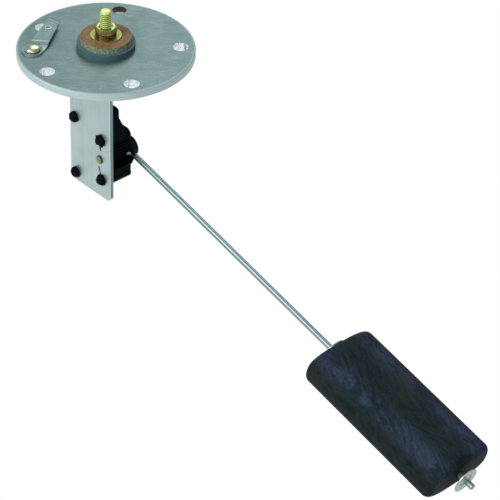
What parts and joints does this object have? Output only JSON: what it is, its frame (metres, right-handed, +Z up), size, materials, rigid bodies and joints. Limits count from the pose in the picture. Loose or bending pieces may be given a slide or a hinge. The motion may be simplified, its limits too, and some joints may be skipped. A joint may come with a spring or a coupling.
{
  "type": "fuel level sender",
  "caption": "Swing arm fuel level sender: round five-hole flange with terminal stud, bracket, resistor housing and a float on a wire arm",
  "frame": {"origin": "centre of the flange on its underside, the face that seats on the tank", "axes": "+Z up along the terminal stud, the pivot along Y, the arm pointing toward +X and below level"},
  "size_m": [0.2193, 0.065, 0.1076],
  "materials": {
    "mounting_flange": "zinc plated, dull and lightly scratched",
    "ground_tab": "tin plated blade",
    "ground_rivet": "pale yellow plating",
    "terminal_stud": "yellow plating on the thread",
    "terminal_nut": "yellow zinc plating",
    "lock_washer": "copper tinted plating",
    "flat_washer": "yellow zinc plating",
    "insulating_washer": "brown laminate with a rough cut edge",
    "seal_washer": "blue grey rubber",
    "insulating_bush": "brown laminate",
    "lower_insulator": "brown laminate",
    "feed_strap": "bare brass",
    "bracket": "rolled sheet with light scuffs",
    "sender_housing": "black moulding",
    "insulator_sheet": "thin pale sheet",
    "resistor_card": "tan laminate",
    "resistor_winding": "fine resistance wire",
    "strap_rivet": "bare brass",
    "pivot_pin": "bare brass",
    "rotor": "black moulding",
    "wiper_contact": "spring bronze",
    "float_arm": "drawn wire",
    "float": "black closed cell foam",
    "upper_push_nut": "spring steel",
    "lower_push_nut": "spring steel"
  },
  "bodies": {
    "sender": {"mounting_flange": "mounting_flange", "ground_tab": "ground_tab", "ground_rivet": "ground_rivet", "terminal_stud": "terminal_stud", "terminal_nut": "terminal_nut", "lock_washer": "lock_washer", "flat_washer": "flat_washer", "insulating_washer": "insulating_washer", "seal_washer": "seal_washer", "insulating_bush": "insulating_bush", "lower_insulator": "lower_insulator", "feed_strap": "feed_strap", "bracket": "bracket", "sender_housing": "sender_housing", "insulator_sheet": "insulator_sheet", "resistor_card": "resistor_card", "resistor_winding": "resistor_winding", "strap_rivet": "strap_rivet", "pivot_pin": "pivot_pin"},
    "arm": {"rotor": "rotor", "wiper_contact": "wiper_contact", "float_arm": "float_arm", "upper_push_nut": "upper_push_nut", "lower_push_nut": "lower_push_nut"},
    "float": {"float": "float"}
  },
  "joints": [
    {"name": "arm_swing", "type": "hinge", "parent": "sender", "child": "arm", "pos_m": [0.0055, 0, -0.0399], "axis": [0, 1, 0], "range_deg": [-44, 46]},
    {"name": "float_spin", "type": "hinge", "parent": "arm", "child": "float", "pos_m": [0.0055, 0.00485, -0.0399], "axis": [0.9703, 0, -0.2419], "continuous": true}
  ]
}
